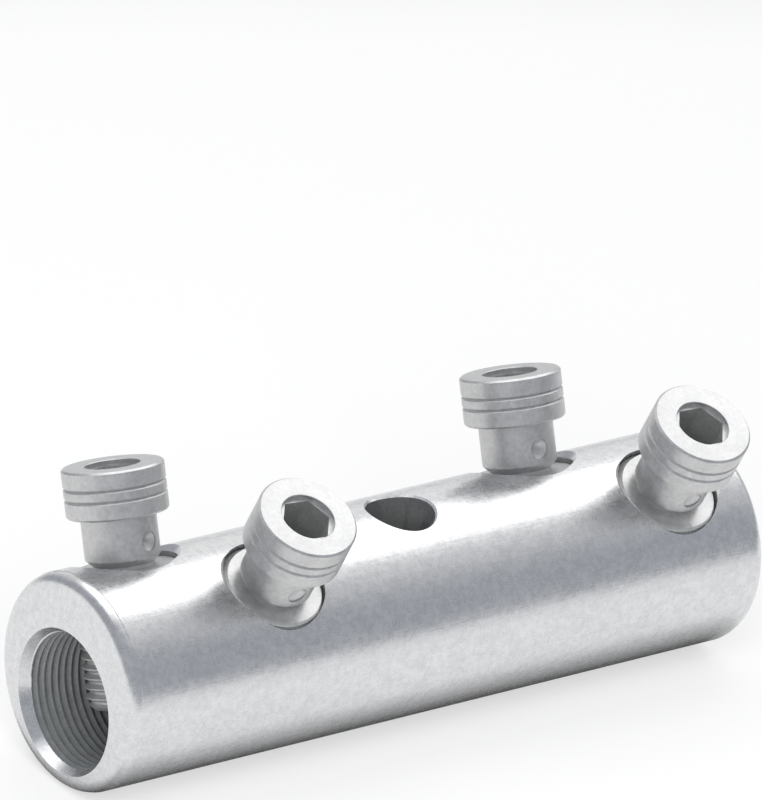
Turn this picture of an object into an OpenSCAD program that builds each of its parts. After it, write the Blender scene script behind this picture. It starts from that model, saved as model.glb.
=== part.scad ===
// Screw connector for joining two power conductors end to end: a tinned aluminium sleeve with an
// eccentric through bore, clamped by four shear-head screws in two rows.
// The origin lies on the axis of the bore at mid length. +X runs along the bore, and +Z leaves
// through the sight hole, half way between the two rows of screws.

/* [Sleeve] */
// Length of the sleeve
sleeve_l = 120; // [112:1:150]
// Outer diameter of the sleeve
sleeve_d = 33.5; // [33:0.5:40]
// How far the bore lies from the sleeve's own axis, away from the screws
bore_offset = 3.05; // [1:0.05:3.5]
// Radius of the turned rounding at each end
end_round_r = 1.9; // [0.8:0.1:2.2]
// Depth of the small turned step where the rounding meets the outside
end_step = 0.12; // [0.05:0.01:0.3]

/* [Bore] */
// Diameter of the bore inside the crests of its thread
bore_d = 20.6; // [17:0.1:21]
// Diameter of the plain land at each mouth
entry_d = 22.2; // [21.4:0.1:22.6]
// Length of the plain land at each mouth
entry_l = 2.4; // [1.5:0.1:4]
// Length of the cone that leads from the land into the bore
lead_in_l = 0.5; // [0.2:0.1:1]

/* [Sight hole] */
// Diameter of the sight hole at mid length
sight_d = 10.6; // [6:0.2:13]
// Width of the broken edge around the sight hole
sight_edge = 0.25; // [0.1:0.05:0.5]

/* [Screw places] */
// Distance from each end of the sleeve to the middle of its outer screw
end_offset = 13.8; // [13:0.1:18]
// Distance along the sleeve between the two screws of a pair
screw_spacing = 17.5; // [17:0.1:21]
// Angle between the two rows of screws
row_angle = 45; // [36:1:60]

/* [Screw shank] */
// Outer diameter of the threaded shank
shank_d = 16; // [14:0.1:16.4]
// Radial gap between the shank and its hole
thread_gap = 0.08; // [0.02:0.01:0.1]
// Width of the countersink around a screw hole at the crown of the sleeve
sink_w = 0.9; // [0.4:0.1:1.2]
// How far the tip stands past the axis of the bore
tip_past_axis = 2.7; // [0:0.1:4]
// Width of the chamfer at the tip
tip_chamfer = 1; // [0.4:0.1:1.6]
// Depth of the shank's shoulder below the crown of the sleeve
shoulder_depth = 1.6; // [0.8:0.1:3]
// Width of the chamfer on the shoulder
shoulder_chamfer = 0.4; // [0.2:0.1:0.8]

/* [Screw neck] */
// Diameter of the section that shears
shear_d = 9.3; // [8.6:0.1:10]
// Height of the section that shears
shear_h = 0.5; // [0.3:0.1:1]
// Diameter of the neck
neck_d = 11.4; // [10.4:0.1:12.4]
// Height of the neck from its cone to the head
neck_h = 6.5; // [5:0.1:9]
// Diameter of the drilled dimple in the side of the neck
dimple_d = 3; // [2:0.1:3.4]
// Height of the dimple above the cone of the neck
dimple_h = 2.4; // [1.8:0.1:3]
// Depth of the straight part of the dimple, before the drill's own cone
dimple_l = 0.4; // [0.2:0.1:0.6]

/* [Screw head] */
// Diameter of the head
head_d = 15.5; // [13.5:0.1:17]
// Height of the head
head_h = 7.4; // [6:0.1:9]
// Width of the broken edges of the head
head_edge = 0.3; // [0.1:0.05:0.6]
// Depth of the two grooves around the head
groove_t = 0.35; // [0.2:0.05:0.6]
// Depth of the upper groove below the top of the head
groove_top = 2.9; // [1.6:0.1:3.2]
// Distance between the two grooves
groove_gap = 1.7; // [1.2:0.05:2]
// Width across the flats of the hexagon socket
hex_af = 7; // [5:0.5:7]
// Depth of the hexagon socket below the top of the head
hex_h = 20; // [18:0.5:24]
// Diameter of the shallow recess around the mouth of the socket
rim_d = 8.4; // [8.2:0.1:9.6]
// Depth of that recess
rim_h = 0.85; // [0.4:0.05:1.4]

/* [Hidden] */
// Fineness of the round surfaces
$fn = 96;
// How far a cut runs past the face that it opens
cut = 1;
sleeve_r = sleeve_d / 2;
bore_r = bore_d / 2;
entry_r = entry_d / 2;
shank_r = shank_d / 2;
hole_r = shank_r + thread_gap;
tilt = row_angle / 2;
// Places of the outer and inner screws, counted from mid length
outer_x = sleeve_l / 2 - end_offset;
inner_x = outer_x - screw_spacing;
// Height of the sleeve's crown along a screw's axis, counted from the bore's axis
crown_h = bore_offset * cos(tilt) + sqrt(pow(sleeve_r, 2) - pow(bore_offset * sin(tilt), 2));
// Heights along a screw, counted from the bore's axis
shoulder_z = crown_h - shoulder_depth;
cone_z = shoulder_z + shear_h;
cone_h = (neck_d - shear_d) / 2;
neck_z = cone_z + cone_h;
head_z = neck_z + neck_h;
top_z = head_z + head_h;
hex_corner_r = hex_af / 2 / cos(30);
// How far each screw is turned in its hole, which decides where its dimple looks
turn_left_back = -78;
turn_left_front = -96;
turn_right_back = -92;
turn_right_front = -94;
TINNED = [0.80, 0.81, 0.83];
SCREW = [0.74, 0.74, 0.73];

// Half of the sleeve's section: a bar with rounded ends, a little smaller where it was turned
module bar_section() {
    round_l = sleeve_l - 2 * end_round_r;
    turned_r = sleeve_r - end_step;
    translate([0, -round_l / 2]) square([sleeve_r, round_l]);
    translate([0, -sleeve_l / 2]) square([turned_r - end_round_r, sleeve_l]);
    for (side = [-1, 1])
        translate([turned_r - end_round_r, side * round_l / 2]) circle(r = end_round_r);
}

// The threaded bore with its plain lands, here with the thread as a plain wall
module bore_cut() {
    rotate([0, 90, 0]) cylinder(h = sleeve_l + 2 * cut, r = bore_r, center = true);
    for (side = [-1, 1])
        translate([side * sleeve_l / 2, 0, 0]) rotate([0, -side * 90, 0]) {
            translate([0, 0, -cut]) cylinder(h = cut + entry_l, r = entry_r);
            translate([0, 0, entry_l]) cylinder(h = lead_in_l, r1 = entry_r, r2 = bore_r);
        }
}

// Places its children at a screw: x along the sleeve, side -1 for the front row and 1 for the back
module at_screw(x, side) {
    translate([x, 0, 0]) rotate([-side * tilt, 0, 0]) children();
}

// A screw hole with its countersink, which is widest where the sleeve stands highest
module screw_hole() {
    cylinder(h = crown_h + cut, r = hole_r);
    translate([0, 0, crown_h - sink_w]) cylinder(h = 2 * sink_w, r1 = hole_r, r2 = hole_r + 2 * sink_w);
}

// The sight hole through the thick wall, with its broken edge
module sight_hole() {
    sight_r = sight_d / 2;
    crown_z = bore_offset + sleeve_r;
    cylinder(h = crown_z + cut, r = sight_r);
    translate([0, 0, crown_z - sight_edge])
        cylinder(h = 2 * sight_edge, r1 = sight_r, r2 = sight_r + 2 * sight_edge);
}

module sleeve() {
    color(TINNED) difference() {
        translate([0, 0, bore_offset]) rotate([0, 90, 0]) rotate_extrude() bar_section();
        bore_cut();
        sight_hole();
        for (x = [-outer_x, inner_x]) at_screw(x, 1) screw_hole();
        for (x = [-inner_x, outer_x]) at_screw(x, -1) screw_hole();
    }
}

// Half of the screw's section from its tip to the top of its head
module screw_section() {
    head_r = head_d / 2;
    groove_low = groove_top + groove_gap;
    polygon([
        [0, -tip_past_axis],
        [shank_r - tip_chamfer, -tip_past_axis],
        [shank_r, tip_chamfer - tip_past_axis],
        [shank_r, shoulder_z - shoulder_chamfer],
        [shank_r - shoulder_chamfer, shoulder_z],
        [shear_d / 2, shoulder_z],
        [shear_d / 2, cone_z],
        [neck_d / 2, neck_z],
        [neck_d / 2, head_z],
        [head_r - head_edge, head_z],
        [head_r, head_z + head_edge],
        [head_r, top_z - groove_low - groove_t],
        [head_r - groove_t, top_z - groove_low],
        [head_r, top_z - groove_low + groove_t],
        [head_r, top_z - groove_top - groove_t],
        [head_r - groove_t, top_z - groove_top],
        [head_r, top_z - groove_top + groove_t],
        [head_r, top_z - head_edge],
        [head_r - head_edge, top_z],
        [0, top_z]
    ]);
}

// The hexagon socket, the recess around its mouth and the drilled cone at its bottom
module socket_cut() {
    drill_r = hex_af / 2;
    translate([0, 0, top_z - hex_h]) rotate([0, 0, 30])
        cylinder(h = hex_h + cut, r = hex_corner_r, $fn = 6);
    translate([0, 0, top_z - rim_h]) cylinder(h = rim_h + cut, d = rim_d);
    translate([0, 0, top_z - hex_h - drill_r / 2]) cylinder(h = drill_r / 2, r1 = 0, r2 = drill_r);
}

// The drilled dimple in the side of the neck, with the cone that the drill leaves at its bottom
module dimple_cut() {
    cone_l = dimple_d / 3;
    translate([neck_d / 2 - dimple_l - cone_l, 0, neck_z + dimple_h]) rotate([0, 90, 0]) {
        cylinder(h = cone_l, r1 = 0, r2 = dimple_d / 2);
        translate([0, 0, cone_l]) cylinder(h = dimple_l + cut, d = dimple_d);
    }
}

// One shear-head screw, turned in its hole so that its dimple looks along the angle given
module shear_screw(turn) {
    color(SCREW) rotate([0, 0, turn]) difference() {
        rotate_extrude() screw_section();
        socket_cut();
        dimple_cut();
    }
}

module screw_left_back() { at_screw(-outer_x, 1) shear_screw(turn_left_back); }
module screw_left_front() { at_screw(-inner_x, -1) shear_screw(turn_left_front); }
module screw_right_back() { at_screw(inner_x, 1) shear_screw(turn_right_back); }
module screw_right_front() { at_screw(outer_x, -1) shear_screw(turn_right_front); }

sleeve();
screw_left_back();
screw_left_front();
screw_right_back();
screw_right_front();
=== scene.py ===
"""Looks of the screw connector: a tinned sleeve with a threaded bore and four shear-head screws.

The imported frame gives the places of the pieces. The sleeve and the screws are rebuilt here with
their threads, fine edges and surface finish, in metres and in the frame of the part: the origin
lies on the axis of the bore at mid length, +X runs along the bore and +Z leaves through the sight
hole, half way between the two rows of screws.
"""

import math

import bpy
from mathutils import Matrix, Vector


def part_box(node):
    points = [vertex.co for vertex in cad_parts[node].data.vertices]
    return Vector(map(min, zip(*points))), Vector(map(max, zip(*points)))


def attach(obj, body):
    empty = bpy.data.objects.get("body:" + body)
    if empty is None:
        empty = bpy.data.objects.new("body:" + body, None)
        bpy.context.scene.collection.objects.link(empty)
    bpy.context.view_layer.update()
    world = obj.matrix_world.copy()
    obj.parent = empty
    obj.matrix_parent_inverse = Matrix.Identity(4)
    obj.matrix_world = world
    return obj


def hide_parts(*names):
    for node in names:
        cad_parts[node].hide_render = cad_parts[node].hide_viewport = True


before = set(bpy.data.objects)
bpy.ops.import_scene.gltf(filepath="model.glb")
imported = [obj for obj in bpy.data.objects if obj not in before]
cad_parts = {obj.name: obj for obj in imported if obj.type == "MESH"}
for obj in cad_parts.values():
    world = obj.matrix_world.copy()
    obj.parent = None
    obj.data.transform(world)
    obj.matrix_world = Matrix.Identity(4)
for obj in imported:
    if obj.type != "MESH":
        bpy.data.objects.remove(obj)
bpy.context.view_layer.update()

MM = 0.001

# Sleeve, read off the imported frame
SLEEVE_LOW, SLEEVE_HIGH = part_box("sleeve")
SLEEVE_L = SLEEVE_HIGH.x - SLEEVE_LOW.x
SLEEVE_R = (SLEEVE_HIGH.y - SLEEVE_LOW.y) / 2
BORE_OFFSET = (SLEEVE_HIGH.z + SLEEVE_LOW.z) / 2
END_ROUND_R = 1.9 * MM
END_STEP = 0.07 * MM

# Bore
BORE_R = 10.3 * MM
BORE_ROOT_R = 10.9 * MM
BORE_PITCH = 1.25 * MM
BORE_ROD_MARGIN = 4 * BORE_PITCH
MOUTH_R = 11.3 * MM
MOUTH_L = 1.7 * MM
# How far the thread of the bore reaches into the cone of each mouth
THREAD_INTO_MOUTH = BORE_PITCH / 4

# Sight hole
SIGHT_R = 5.3 * MM
SIGHT_EDGE = 0.3 * MM

# Screw holes
TILT = math.radians(22.5)
HOLE_R = 8.08 * MM
HOLE_CREST_R = 7.25 * MM
SCREW_PITCH = 1.5 * MM
SINK_W = 0.9 * MM
PLAIN_DEPTH = 3.0 * MM

# Screw, with its heights counted from the axis of the bore
SHANK_R = 8.0 * MM
SHANK_ROOT_R = 7.15 * MM
TIP_PAST_AXIS = 2.7 * MM
TIP_CHAMFER = 1.0 * MM
SHOULDER_DEPTH = 1.6 * MM
SHOULDER_CHAMFER = 0.3 * MM
SHEAR_R = 4.65 * MM
SHEAR_H = 0.5 * MM
NECK_R = 5.7 * MM
NECK_H = 6.5 * MM
HEAD_R = 7.75 * MM
HEAD_H = 7.4 * MM
HEAD_EDGE = 0.3 * MM
GROOVE_T = 0.28 * MM
GROOVE_TOP = 2.9 * MM
GROOVE_GAP = 1.7 * MM
DIMPLE_R = 1.5 * MM
DIMPLE_H = 2.4 * MM
DIMPLE_L = 0.4 * MM
DIMPLE_CONE_L = 1.0 * MM
HEX_AF = 7.0 * MM
HEX_H = 20.0 * MM
HEX_SIDES = 6
# Half the angle between two corners of the hexagon, by which it is turned as well
HEX_TURN = math.radians(30)
HEX_CORNER_R = HEX_AF / 2 / math.cos(HEX_TURN)
DRILL_R = HEX_AF / 2
DRILL_CONE_L = DRILL_R / 2
RIM_R = 4.2 * MM
RIM_H = 0.85 * MM
RIM_EDGE = 0.08 * MM
# Where the duller finish starts, below the top of the head and below the shoulder
DULL_SOCKET_DEPTH = 1.01 * RIM_H
DULL_SHANK_DEPTH = SHOULDER_CHAMFER / 4

CROWN_H = BORE_OFFSET * math.cos(TILT) + math.sqrt(
    SLEEVE_R ** 2 - (BORE_OFFSET * math.sin(TILT)) ** 2)
SHOULDER_Z = CROWN_H - SHOULDER_DEPTH
CONE_Z = SHOULDER_Z + SHEAR_H
NECK_Z = CONE_Z + NECK_R - SHEAR_R
HEAD_Z = NECK_Z + NECK_H
TOP_Z = HEAD_Z + HEAD_H
# The thread starts below the tip. Its turns are counted so that its crest, and not its groove,
# meets the right side of the shoulder.
THREAD_TURNS = 14.25
THREAD_START = SHOULDER_Z - THREAD_TURNS * SCREW_PITCH

# One turn of thread, as (share of the pitch, share of the depth) points. Its flanks stand about
# 60 degrees apart.
THREAD_SHAPE = [
    (0.0, 0.0), (0.12, 0.0), (0.16, 0.08), (0.42, 0.92),
    (0.46, 1.0), (0.66, 1.0), (0.70, 0.92), (0.96, 0.08),
]

# Each screw: its body, the side of its row (1 back, -1 front) and how far it is turned, in degrees
SCREWS = [
    ("screw_left_back", 1, -78),
    ("screw_left_front", -1, -96),
    ("screw_right_back", 1, -92),
    ("screw_right_front", -1, -94),
]

# Camera, from a fit of the sleeve and the screws to the photograph
CAMERA_AZIMUTH = math.radians(-40.664)
CAMERA_ELEVATION = math.radians(26.700)
CAMERA_ROLL = math.radians(8.087)
CAMERA_DISTANCE = 2053.7 * MM
# Pixels of the photograph to a metre, at the middle of the sleeve
CAMERA_SCALE = 6.645 / MM
# Where the middle of the sleeve lies, counted from the middle of the picture
CAMERA_AIM_X = 0.878 * MM
CAMERA_AIM_Y = -31.059 * MM
CAMERA_CLIP = (0.1, 20.0)
PHOTO_HEIGHT = 800
SENSOR_WIDTH = 36.0

# Fineness of the round surfaces
OUTER_SEGMENTS = 240
HOLE_SEGMENTS = 128
DIMPLE_SEGMENTS = 64
THREAD_SEGMENTS = 44
END_ROUND_STEPS = 12
BAR_RINGS = 40
SHARP_ANGLE = math.radians(40)
# How far a cut runs past the face that it opens
CUT = 1.0 * MM

# Finish: the name of the mesh's own places, and how the mottle and the grain mix
OWN_PLACE = "own_place"
MOTTLE_SCALE = 500.0
MOTTLE_SHARE = 0.4
GRAIN_SHARE = 0.6
# The stretch of the mixed noise that spans dark to light, and that of the roughness
COLOUR_SPREAD = (0.38, 0.62)
ROUGH_SPREAD = (0.8, 1.2)

# Studio: a dim room, light around the soft panel overhead and low down behind the sleeve
ROOM_DIM = (0.37, 0.39, 0.43)
ROOM_LIGHT = (0.95, 0.95, 0.95)
GLOW_WAY = (0.47, 0.385, 0.79)
GLOW_RANGE = (0.45, 1.0)
BACK_WAY = (0.60, 0.75, 0.20)
BACK_RANGE = (0.80, 0.97)
PANEL_HEIGHT = 1.0
PANEL_X = (-0.5, 1.6)
PANEL_Y = (-0.02, 1.0)
PANEL_RADIANCE = 1.25
FILL_PLACE = (-0.50, -0.58, 0.62)
FILL_SIZE = 0.8
FILL_RADIANCE = 4.6
ROOM_ON_FLOOR = 0.5

# Floor: its size, paint and own glow, and how far from its middle both fade into the room
FLOOR_HALF = 3.0
FLOOR_WHITE = (0.93, 0.93, 0.93)
GLOW_WHITE = (1, 1, 1)
FLOOR_DIM = (0.40, 0.41, 0.44)
FLOOR_MIDDLE = (-0.15, -0.45, 0)
FLOOR_FADE = (0.70, 0.95)
FLOOR_GLOW = 0.6
# The painted shadow on the floor right under the sleeve, which only the metal shows, along its lower
# edge
PAINTED_SHADOW_Y = (9.0 * MM, 21.0 * MM)
PAINTED_SHADOW_X = (58.0 * MM, 66.0 * MM)
PAINTED_SHADOW_STRENGTH = 0.92
PAINTED_SHADOW_COLOUR = (0.02, 0.02, 0.02)


# Mesh building

def new_object(name, vertices, faces):
    """A mesh object in the scene. Its faces are given with their corners counted from outside."""
    mesh = bpy.data.meshes.new(name)
    mesh.from_pydata(vertices, [], faces)
    mesh.validate()
    mesh.update()
    made = bpy.data.objects.new(name, mesh)
    bpy.context.scene.collection.objects.link(made)
    return made


def lathe(name, profile, segments):
    """Revolves (radius, height) points about Z. The first and the last point lie on the axis."""
    vertices = [(0, 0, profile[0][1]), (0, 0, profile[-1][1])]
    inner = profile[1:-1]
    for radius, height in inner:
        for j in range(segments):
            a = 2 * math.pi * j / segments
            vertices.append((radius * math.cos(a), radius * math.sin(a), height))
    faces = []
    for j in range(segments):
        k = (j + 1) % segments
        faces.append((0, 2 + k, 2 + j))
        for i in range(len(inner) - 1):
            low, high = 2 + i * segments, 2 + (i + 1) * segments
            faces.append((low + j, low + k, high + k, high + j))
        last = 2 + (len(inner) - 1) * segments
        faces.append((1, last + j, last + k))
    return new_object(name, vertices, faces)


def cylinder(name, radius, half_length):
    """A cylinder about Z, with its middle at the origin."""
    profile = [(0, -half_length), (radius, -half_length), (radius, half_length), (0, half_length)]
    return lathe(name, profile, HOLE_SEGMENTS)


def threaded_rod(name, profile, pitch, start, length, segments):
    """A rod about Z with a right-hand thread. profile holds (share of the pitch, radius) points.

    Each profile point runs up the rod as one helix. The first one runs a turn further than the
    others, because the last point of a turn joins the first point of the next."""
    last = math.ceil(length / pitch) * segments
    vertices = []
    helices = []
    for number, (share, radius) in enumerate(profile):
        count = last + 1 + (segments if number == 0 else 0)
        helices.append(range(len(vertices), len(vertices) + count))
        for t in range(count):
            a = 2 * math.pi * t / segments
            height = start + pitch * (t / segments + share)
            vertices.append((radius * math.cos(a), radius * math.sin(a), height))
    faces = []
    for t in range(last):
        for low, high in zip(helices, helices[1:]):
            faces.append((low[t], low[t + 1], high[t + 1], high[t]))
        faces.append((helices[-1][t], helices[-1][t + 1],
                      helices[0][t + segments + 1], helices[0][t + segments]))
    # A cone closes each end
    for first in (0, last):
        loop = list(helices[0][first:first + segments + 1])
        loop += [helix[first] for helix in reversed(helices[1:])]
        apex_height = start - pitch if first == 0 else start + pitch * (last / segments + 2)
        vertices.append((0, 0, apex_height))
        for a, b in zip(loop, loop[1:] + loop[:1]):
            faces.append((len(vertices) - 1, b, a) if first == 0 else (len(vertices) - 1, a, b))
    return new_object(name, vertices, faces)


def apply_boolean(target, cutter, operation):
    """Joins, cuts or intersects two closed meshes, and removes the cutter."""
    modifier = target.modifiers.new(operation, "BOOLEAN")
    modifier.operation = operation
    modifier.solver = "MANIFOLD"
    modifier.object = cutter
    graph = bpy.context.evaluated_depsgraph_get()
    mesh = bpy.data.meshes.new_from_object(target.evaluated_get(graph))
    target.modifiers.clear()
    target.data = mesh
    bpy.data.objects.remove(cutter)
    return target


def move(target, matrix):
    """Moves the mesh itself, so that the object stays at the origin."""
    target.data.transform(matrix)
    return target


def prism(name, corner_r, sides, low, high, first_angle):
    """An upright prism with a regular outline."""
    angles = [first_angle + 2 * math.pi * i / sides for i in range(sides)]
    vertices = [(corner_r * math.cos(a), corner_r * math.sin(a), z)
                for z in (low, high) for a in angles]
    faces = [tuple(reversed(range(sides))), tuple(range(sides, 2 * sides))]
    for i in range(sides):
        k = (i + 1) % sides
        faces.append((i, k, sides + k, sides + i))
    return new_object(name, vertices, faces)


def arc(center_r, center_z, radius, first, last, count):
    """Points of a round stretch of a profile, with its angles in degrees."""
    points = []
    for i in range(count + 1):
        a = math.radians(first + (last - first) * i / count)
        points.append((center_r + radius * math.cos(a), center_z + radius * math.sin(a)))
    return points


def dress(target, outer, inner, is_inner):
    """Gives the mesh its two materials, and smooth faces with sharp edges where it turns abruptly.

    It also keeps each vertex's present place, from which the materials take their patterns."""
    mesh = target.data
    mesh.materials.clear()
    mesh.materials.append(outer)
    mesh.materials.append(inner)
    for polygon in mesh.polygons:
        polygon.material_index = 1 if is_inner(polygon.center) else 0
    mesh.shade_smooth()
    mesh.set_sharp_from_angle(angle=SHARP_ANGLE)
    own_place = mesh.attributes.new(OWN_PLACE, "FLOAT_VECTOR", "POINT")
    for vertex in mesh.vertices:
        own_place.data[vertex.index].vector = vertex.co


def thread_profile(high_r, low_r):
    """A turn of thread with eased corners, from its high to its low and back."""
    return [(share, high_r + depth * (low_r - high_r)) for share, depth in THREAD_SHAPE]


# Sleeve

ALONG_X = Matrix.Rotation(math.radians(90), 4, "Y")


def sleeve_bar():
    """The turned bar with its rounded ends, about its own axis above the bore."""
    half = SLEEVE_L / 2
    turned_r = SLEEVE_R - END_STEP
    low, high = END_ROUND_R - half, half - END_ROUND_R
    round_middle_r = turned_r - END_ROUND_R
    profile = [(0, -half)]
    profile += arc(round_middle_r, low, END_ROUND_R, -90, 0, END_ROUND_STEPS)
    profile.append((SLEEVE_R, low + END_STEP))
    for i in range(1, BAR_RINGS):
        profile.append((SLEEVE_R, low + (high - low) * i / BAR_RINGS))
    profile.append((SLEEVE_R, high - END_STEP))
    profile += arc(round_middle_r, high, END_ROUND_R, 0, 90, END_ROUND_STEPS)
    profile.append((0, half))
    bar = lathe("sleeve_visual", profile, OUTER_SEGMENTS)
    return move(bar, Matrix.Translation((0, 0, BORE_OFFSET)) @ ALONG_X)


def bore_cutters():
    """The threaded bore, and the cone at each mouth."""
    half = SLEEVE_L / 2
    yield move(cylinder("bore", BORE_R, half + CUT), ALONG_X)
    rod = threaded_rod("bore_thread", thread_profile(BORE_R, BORE_ROOT_R), BORE_PITCH,
                       -half - BORE_ROD_MARGIN, SLEEVE_L + 2 * BORE_ROD_MARGIN, THREAD_SEGMENTS)
    between = cylinder("between_mouths", BORE_ROOT_R + CUT, half - MOUTH_L + THREAD_INTO_MOUTH)
    yield move(apply_boolean(rod, between, "INTERSECT"), ALONG_X)
    slope = (MOUTH_R - BORE_R) / MOUTH_L
    for side in (-1, 1):
        cone = lathe("mouth_cone", [
            (0, -CUT),
            (MOUTH_R + CUT * slope, -CUT),
            (BORE_R - CUT * slope, MOUTH_L + CUT),
            (0, MOUTH_L + CUT),
        ], HOLE_SEGMENTS)
        inward = Matrix.Rotation(math.radians(-side * 90), 4, "Y")
        yield move(cone, Matrix.Translation((side * half, 0, 0)) @ inward)


def sight_hole_cutter():
    """The sight hole, with an edge that is broken evenly all round the curved surface."""
    def surface_z(radius, a):
        return BORE_OFFSET + math.sqrt(SLEEVE_R ** 2 - (radius * math.sin(a)) ** 2)

    top = BORE_OFFSET + SLEEVE_R + CUT
    wide = SIGHT_R + SIGHT_EDGE
    vertices = [(0, 0, 0), (0, 0, top)]
    for j in range(HOLE_SEGMENTS):
        a = 2 * math.pi * j / HOLE_SEGMENTS
        rings = [(SIGHT_R, 0), (SIGHT_R, surface_z(SIGHT_R, a) - SIGHT_EDGE),
                 (wide, surface_z(wide, a)), (wide, top)]
        vertices += [(r * math.cos(a), r * math.sin(a), z) for r, z in rings]
    faces = []
    for j in range(HOLE_SEGMENTS):
        here, there = 2 + 4 * j, 2 + 4 * ((j + 1) % HOLE_SEGMENTS)
        faces.append((0, there, here))
        faces += [(here + i, there + i, there + i + 1, here + i + 1) for i in range(3)]
        faces.append((1, here + 3, there + 3))
    return new_object("sight_hole", vertices, faces)


def screw_place(name, side, turn):
    """The matrix that stands an upright thing in a screw's place, tilted with its row and turned."""
    low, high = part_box(name)
    x = (low.x + high.x) / 2
    tilted = Matrix.Translation((x, 0, 0)) @ Matrix.Rotation(-side * TILT, 4, "X")
    return tilted @ Matrix.Rotation(math.radians(turn), 4, "Z")


def screw_hole_cutters(place):
    """A hole whose thread runs between the turns of the screw's own, and its plain top."""
    rod = threaded_rod("screw_hole", thread_profile(HOLE_R, HOLE_CREST_R), SCREW_PITCH,
                       THREAD_START, CROWN_H + SCREW_PITCH - THREAD_START, THREAD_SEGMENTS)
    yield move(rod, place)
    plain = lathe("plain_top", [
        (0, CROWN_H - PLAIN_DEPTH),
        (HOLE_R, CROWN_H - PLAIN_DEPTH),
        (HOLE_R, CROWN_H - SINK_W),
        (HOLE_R + SINK_W + CUT, CROWN_H + CUT),
        (0, CROWN_H + CUT),
    ], HOLE_SEGMENTS)
    yield move(plain, place)


def inside_sleeve(place):
    """Whether a face belongs to the bore or to the wall of a hole, which get the darker colour
    painted as shade.
    """
    from_bore = math.hypot(place.y, place.z)
    from_middle = math.hypot(place.y, place.z - BORE_OFFSET)
    between_ends = abs(place.x) < SLEEVE_L / 2 - 2 * END_ROUND_R
    in_bore = from_bore < BORE_ROOT_R and abs(place.x) < SLEEVE_L / 2 - MOUTH_L
    return in_bore or (between_ends and from_middle < SLEEVE_R - SINK_W)


def build_sleeve():
    """The bar with its bore, sight hole and screw holes cut out."""
    sleeve = sleeve_bar()
    cutters = list(bore_cutters()) + [sight_hole_cutter()]
    for name, side, turn in SCREWS:
        cutters += list(screw_hole_cutters(screw_place(name, side, turn)))
    for cutter in cutters:
        apply_boolean(sleeve, cutter, "DIFFERENCE")
    return sleeve


# Screws

def threaded_shank(name):
    """The shank of a screw, from its chamfered tip to its shoulder."""
    rod = threaded_rod(name, thread_profile(SHANK_R, SHANK_ROOT_R), SCREW_PITCH,
                       THREAD_START, SHOULDER_Z + SCREW_PITCH - THREAD_START, THREAD_SEGMENTS)
    envelope = lathe("envelope", [
        (0, -TIP_PAST_AXIS),
        (SHANK_R - TIP_CHAMFER, -TIP_PAST_AXIS),
        (SHANK_R + CUT, TIP_CHAMFER + CUT - TIP_PAST_AXIS),
        (SHANK_R + CUT, SHOULDER_Z - SHOULDER_CHAMFER - CUT),
        (SHANK_R - SHOULDER_CHAMFER, SHOULDER_Z),
        (0, SHOULDER_Z),
    ], HOLE_SEGMENTS)
    return apply_boolean(rod, envelope, "INTERSECT")


def neck_and_head():
    """The thin section that shears, the cone, the neck and the head with its two grooves."""
    profile = [(0, 0), (SHEAR_R, 0), (SHEAR_R, CONE_Z), (NECK_R, NECK_Z), (NECK_R, HEAD_Z),
               (HEAD_R - HEAD_EDGE, HEAD_Z), (HEAD_R, HEAD_Z + HEAD_EDGE)]
    for height in (TOP_Z - GROOVE_TOP - GROOVE_GAP, TOP_Z - GROOVE_TOP):
        profile += [(HEAD_R, height - GROOVE_T), (HEAD_R - GROOVE_T, height),
                    (HEAD_R, height + GROOVE_T)]
    profile += [(HEAD_R, TOP_Z - HEAD_EDGE), (HEAD_R - HEAD_EDGE, TOP_Z), (0, TOP_Z)]
    return lathe("neck_and_head", profile, HOLE_SEGMENTS)


def socket_cutters():
    """The hexagon socket, the recess around its mouth and the drilled cone at its bottom."""
    bottom = TOP_Z - HEX_H
    yield prism("hexagon", HEX_CORNER_R, HEX_SIDES, bottom, TOP_Z + CUT, HEX_TURN)
    yield lathe("recess", [
        (0, TOP_Z - RIM_H),
        (RIM_R, TOP_Z - RIM_H),
        (RIM_R, TOP_Z - RIM_EDGE),
        (RIM_R + RIM_EDGE + CUT, TOP_Z + CUT),
        (0, TOP_Z + CUT),
    ], HOLE_SEGMENTS)
    yield lathe("drill", [(0, bottom - DRILL_CONE_L), (DRILL_R, bottom), (0, bottom + CUT)],
                HOLE_SEGMENTS)


def dimple_cutter():
    """The drilled dimple in the side of the neck, with the cone that the drill leaves."""
    straight = NECK_R - DIMPLE_L
    dimple = lathe("dimple", [
        (0, straight - DIMPLE_CONE_L),
        (DIMPLE_R, straight),
        (DIMPLE_R, NECK_R + CUT),
        (0, NECK_R + CUT),
    ], DIMPLE_SEGMENTS)
    return move(dimple, Matrix.Translation((0, 0, NECK_Z + DIMPLE_H)) @ ALONG_X)


def build_screw(name):
    """One shear-head screw, upright, with its heights counted from the axis of the bore."""
    screw = threaded_shank(name)
    apply_boolean(screw, neck_and_head(), "UNION")
    for cutter in socket_cutters():
        apply_boolean(screw, cutter, "DIFFERENCE")
    return apply_boolean(screw, dimple_cutter(), "DIFFERENCE")


def inside_screw(place):
    """Whether a face belongs to the shank below its shoulder, or to the hexagon socket."""
    from_axis = math.hypot(place.x, place.y)
    in_socket = place.z < TOP_Z - DULL_SOCKET_DEPTH and from_axis < RIM_R
    return in_socket or place.z < SHOULDER_Z - DULL_SHANK_DEPTH


# Materials

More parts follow.
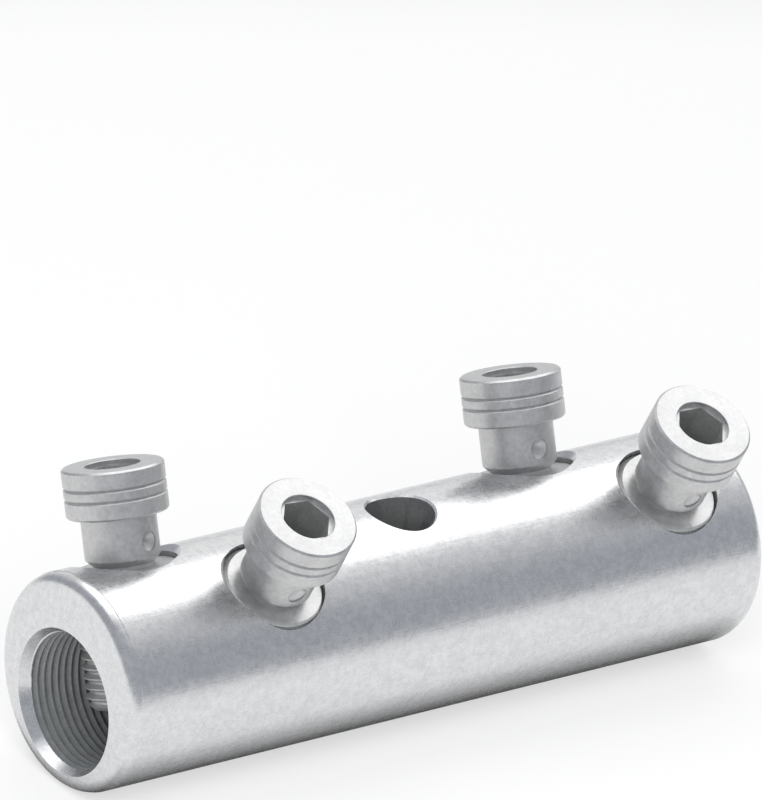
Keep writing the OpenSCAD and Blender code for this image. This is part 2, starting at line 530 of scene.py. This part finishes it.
class Nodes:
    """Short calls for building one node tree."""

    def __init__(self, tree):
        self.tree = tree
        tree.nodes.clear()

    def add(self, kind, **settings):
        node = self.tree.nodes.new(kind)
        for key, value in settings.items():
            setattr(node, key, value)
        return node

    def link(self, output, socket):
        self.tree.links.new(output, socket)

    def noise(self, coordinates, scale, detail, roughness):
        node = self.add("ShaderNodeTexNoise")
        node.inputs["Scale"].default_value = scale
        node.inputs["Detail"].default_value = detail
        node.inputs["Roughness"].default_value = roughness
        self.link(coordinates, node.inputs["Vector"])
        return node.outputs["Fac"]

    def stretched(self, coordinates, scale):
        node = self.add("ShaderNodeMapping")
        node.inputs["Scale"].default_value = scale
        self.link(coordinates, node.inputs["Vector"])
        return node.outputs["Vector"]

    def remap(self, value, low, high, to_low, to_high):
        node = self.add("ShaderNodeMapRange")
        node.inputs["From Min"].default_value = low
        node.inputs["From Max"].default_value = high
        node.inputs["To Min"].default_value = to_low
        node.inputs["To Max"].default_value = to_high
        self.link(value, node.inputs["Value"])
        return node.outputs["Result"]

    def math(self, operation, a, b):
        node = self.add("ShaderNodeMath", operation=operation)
        for socket, value in zip(node.inputs, (a, b)):
            if isinstance(value, (int, float)):
                socket.default_value = value
            else:
                self.link(value, socket)
        return node.outputs[0]

    def blend(self, factor, low, high):
        node = self.add("ShaderNodeMix", data_type="RGBA")
        self.link(factor, node.inputs["Factor"])
        node.inputs["A"].default_value = (*low, 1)
        node.inputs["B"].default_value = (*high, 1)
        return node.outputs["Result"]

    def bump(self, height, distance, normal=None):
        node = self.add("ShaderNodeBump")
        node.inputs["Strength"].default_value = 1.0
        node.inputs["Distance"].default_value = distance
        self.link(height, node.inputs["Height"])
        if normal is not None:
            self.link(normal, node.inputs["Normal"])
        return node.outputs["Normal"]


def metal(name, dark, light, rough, grain, grain_depth, streak_scale, streak_depth, metallic):
    """Bare or tinned aluminium with a soft mottle, the fine dimples of tumbling and fine streaks.

    The places come from the mesh itself, so that the streaks of a screw run round its own axis.
    rough is the lowest and the highest roughness, and the depths are in metres."""
    material = bpy.data.materials.new(name)
    material.use_nodes = True
    n = Nodes(material.node_tree)
    place = n.add("ShaderNodeAttribute", attribute_name=OWN_PLACE).outputs["Vector"]
    mottle = n.noise(place, MOTTLE_SCALE, detail=3.0, roughness=0.5)
    specks = n.noise(place, grain, detail=2.0, roughness=0.6)
    streaks = n.noise(n.stretched(place, streak_scale), 1.0, detail=3.0, roughness=0.65)
    shader = n.add("ShaderNodeBsdfPrincipled")
    shader.inputs["Metallic"].default_value = metallic
    mixed = n.math("ADD", n.math("MULTIPLY", mottle, MOTTLE_SHARE),
                   n.math("MULTIPLY", specks, GRAIN_SHARE))
    colour = n.blend(n.remap(mixed, *COLOUR_SPREAD, 0, 1), dark, light)
    n.link(colour, shader.inputs["Base Color"])
    roughness = n.remap(n.math("ADD", mixed, streaks), *ROUGH_SPREAD, *rough)
    n.link(roughness, shader.inputs["Roughness"])
    normal = n.bump(specks, grain_depth)
    normal = n.bump(streaks, streak_depth, normal)
    n.link(normal, shader.inputs["Normal"])
    out = n.add("ShaderNodeOutputMaterial")
    n.link(shader.outputs["BSDF"], out.inputs["Surface"])
    return material


# Studio

def painted_shadow_under_sleeve(n, place):
    """How strongly the painted shadow under the sleeve covers a place of the floor."""
    parts = n.add("ShaderNodeSeparateXYZ")
    n.link(place, parts.inputs[0])
    beside = n.remap(n.math("ABSOLUTE", parts.outputs["Y"], 0), *PAINTED_SHADOW_Y, 0, 1)
    beyond = n.remap(n.math("ABSOLUTE", parts.outputs["X"], 0), *PAINTED_SHADOW_X, 0, 1)
    return n.remap(n.math("MAXIMUM", beside, beyond), 0, 1, PAINTED_SHADOW_STRENGTH, 0)


def floor_material():
    """A pale floor that shows white to the camera and in the metal, and keeps a light shadow.

    Its white part reaches far to the front, and fades into the dim room behind the sleeve.
    In the metal it shows a painted shadow right under the sleeve: a dark patch that only glossy rays
    see."""
    material = bpy.data.materials.new("floor")
    material.use_nodes = True
    n = Nodes(material.node_tree)
    place = n.add("ShaderNodeTexCoord").outputs["Object"]
    away = n.add("ShaderNodeVectorMath", operation="DISTANCE")
    n.link(place, away.inputs[0])
    away.inputs[1].default_value = FLOOR_MIDDLE
    faded = n.remap(away.outputs["Value"], *FLOOR_FADE, 0, 1)
    paint = n.add("ShaderNodeBsdfDiffuse")
    n.link(n.blend(faded, FLOOR_WHITE, FLOOR_DIM), paint.inputs["Color"])
    glow = n.add("ShaderNodeEmission")
    n.link(n.blend(faded, GLOW_WHITE, FLOOR_DIM), glow.inputs["Color"])
    rays = n.add("ShaderNodeLightPath").outputs
    seen = n.math("MAXIMUM", rays["Is Camera Ray"], rays["Is Glossy Ray"])
    seen = n.math("MAXIMUM", seen, rays["Is Transmission Ray"])
    mixed = n.add("ShaderNodeMixShader")
    n.link(n.math("MULTIPLY", seen, FLOOR_GLOW), mixed.inputs["Fac"])
    n.link(paint.outputs["BSDF"], mixed.inputs[1])
    n.link(glow.outputs["Emission"], mixed.inputs[2])
    # Painted shadow: right under the sleeve the floor turns to a dark paint for glossy rays only
    painted_shadow = n.math("MULTIPLY", painted_shadow_under_sleeve(n, place), rays["Is Glossy Ray"])
    with_painted_shadow = n.add("ShaderNodeMixShader")
    n.link(painted_shadow, with_painted_shadow.inputs["Fac"])
    n.link(mixed.outputs["Shader"], with_painted_shadow.inputs[1])
    dark = n.add("ShaderNodeBsdfDiffuse")
    dark.inputs["Color"].default_value = (*PAINTED_SHADOW_COLOUR, 1)
    n.link(dark.outputs["BSDF"], with_painted_shadow.inputs[2])
    out = n.add("ShaderNodeOutputMaterial")
    n.link(with_painted_shadow.outputs["Shader"], out.inputs["Surface"])
    return material


def build_floor():
    """The floor on which the sleeve lies."""
    half = FLOOR_HALF
    z = SLEEVE_LOW.z
    corners = [(-half, -half, z), (half, -half, z), (half, half, z), (-half, half, z)]
    floor = new_object("floor", corners, [(0, 1, 2, 3)])
    floor.data.materials.append(floor_material())


def build_world():
    """A dim room around the sleeve, lighter towards the panel and towards the back."""
    world = bpy.data.worlds.new("studio")
    bpy.context.scene.world = world
    world.use_nodes = True
    n = Nodes(world.node_tree)
    direction = n.add("ShaderNodeTexCoord").outputs["Generated"]
    shares = []
    for way, (edge, core) in ((GLOW_WAY, GLOW_RANGE), (BACK_WAY, BACK_RANGE)):
        dot = n.add("ShaderNodeVectorMath", operation="DOT_PRODUCT")
        n.link(direction, dot.inputs[0])
        dot.inputs[1].default_value = Vector(way).normalized()
        shares.append(n.remap(dot.outputs["Value"], edge, core, 0, 1))
    background = n.add("ShaderNodeBackground")
    n.link(n.blend(n.math("MAXIMUM", *shares), ROOM_DIM, ROOM_LIGHT), background.inputs["Color"])
    on_floor = n.add("ShaderNodeLightPath").outputs["Is Diffuse Ray"]
    n.link(n.remap(on_floor, 0, 1, 1, ROOM_ON_FLOOR), background.inputs["Strength"])
    out = n.add("ShaderNodeOutputWorld")
    n.link(background.outputs["Background"], out.inputs["Surface"])


def build_lamp(name, place, size_x, size_y, radiance):
    """A flat soft lamp, which faces straight down until it is turned."""
    data = bpy.data.lights.new(name, "AREA")
    data.shape = "RECTANGLE"
    data.size = size_x
    data.size_y = size_y
    data.energy = radiance * math.pi * size_x * size_y
    lamp = bpy.data.objects.new(name, data)
    lamp.location = place
    bpy.context.scene.collection.objects.link(lamp)
    return lamp


def build_lamps():
    """The soft panel overhead, and a fill from the front that the metal doesn't show."""
    build_lamp("panel", (sum(PANEL_X) / 2, sum(PANEL_Y) / 2, PANEL_HEIGHT),
               PANEL_X[1] - PANEL_X[0], PANEL_Y[1] - PANEL_Y[0], PANEL_RADIANCE)
    fill = build_lamp("fill", FILL_PLACE, FILL_SIZE, FILL_SIZE, FILL_RADIANCE)
    fill.rotation_euler = Vector(FILL_PLACE).to_track_quat("Z", "Y").to_euler()
    fill.visible_glossy = False


def build_camera():
    """Looks from the fitted direction, shifted and rolled so that the sleeve lies as in the photo."""
    azimuth, elevation = CAMERA_AZIMUTH, CAMERA_ELEVATION
    back = Vector((math.sin(azimuth) * math.cos(elevation),
                   -math.cos(azimuth) * math.cos(elevation), math.sin(elevation)))
    right = Vector((math.cos(azimuth), math.sin(azimuth), 0))
    up = back.cross(right)
    c, s = math.cos(CAMERA_ROLL), math.sin(CAMERA_ROLL)
    right, up = c * right + s * up, c * up - s * right
    middle = Vector((0, 0, BORE_OFFSET))
    place = middle - CAMERA_AIM_X * right - CAMERA_AIM_Y * up + CAMERA_DISTANCE * back
    turn = Matrix((right, up, back)).transposed()
    data = bpy.data.cameras.new("camera")
    data.sensor_width = SENSOR_WIDTH
    data.lens = SENSOR_WIDTH * CAMERA_SCALE * CAMERA_DISTANCE / PHOTO_HEIGHT
    data.clip_start, data.clip_end = CAMERA_CLIP
    camera = bpy.data.objects.new("camera", data)
    camera.matrix_world = Matrix.Translation(place) @ turn.to_4x4()
    bpy.context.scene.collection.objects.link(camera)
    bpy.context.scene.camera = camera


# The scene

bpy.context.scene.view_settings.view_transform = "Standard"

# The tumbled outside of the sleeve
tinned = metal("tinned_aluminium",
               dark=(0.65, 0.653, 0.66), light=(0.75, 0.753, 0.76), rough=(0.25, 0.31),
               grain=1100.0, grain_depth=0.016 * MM,
               streak_scale=(110.0, 1900.0, 1900.0), streak_depth=0.010 * MM, metallic=0.94)
# The bore and the walls of the holes, whose colour is painted darker than the tin as shade in these
# recesses
bore_wall_painted_shade = metal("threaded_bore_painted_shade",
                  dark=(0.27, 0.28, 0.28), light=(0.36, 0.37, 0.37), rough=(0.46, 0.58),
                  grain=2200.0, grain_depth=0.006 * MM,
                  streak_scale=(60.0, 2400.0, 2400.0), streak_depth=0.004 * MM, metallic=0.65)
# The neck and the head of a screw, with the marks of turning
turned = metal("turned_aluminium",
               dark=(0.52, 0.52, 0.52), light=(0.63, 0.63, 0.63), rough=(0.33, 0.45),
               grain=1500.0, grain_depth=0.005 * MM,
               streak_scale=(120.0, 120.0, 2600.0), streak_depth=0.009 * MM, metallic=0.86)
# The shank of a screw and the inside of its socket
dull = metal("dull_aluminium",
             dark=(0.50, 0.51, 0.50), light=(0.62, 0.63, 0.62), rough=(0.52, 0.64),
             grain=2200.0, grain_depth=0.006 * MM,
             streak_scale=(120.0, 120.0, 2600.0), streak_depth=0.004 * MM, metallic=0.8)

sleeve = build_sleeve()
dress(sleeve, tinned, bore_wall_painted_shade, inside_sleeve)
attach(sleeve, "sleeve")
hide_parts("sleeve")

screw_shape = build_screw("screw_shape")
dress(screw_shape, turned, dull, inside_screw)
for name, side, turn in SCREWS:
    screw = bpy.data.objects.new(name + "_visual", screw_shape.data.copy())
    bpy.context.scene.collection.objects.link(screw)
    move(screw, screw_place(name, side, turn))
    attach(screw, name)
    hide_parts(name)
bpy.data.objects.remove(screw_shape)

build_floor()
build_world()
build_lamps()
build_camera()
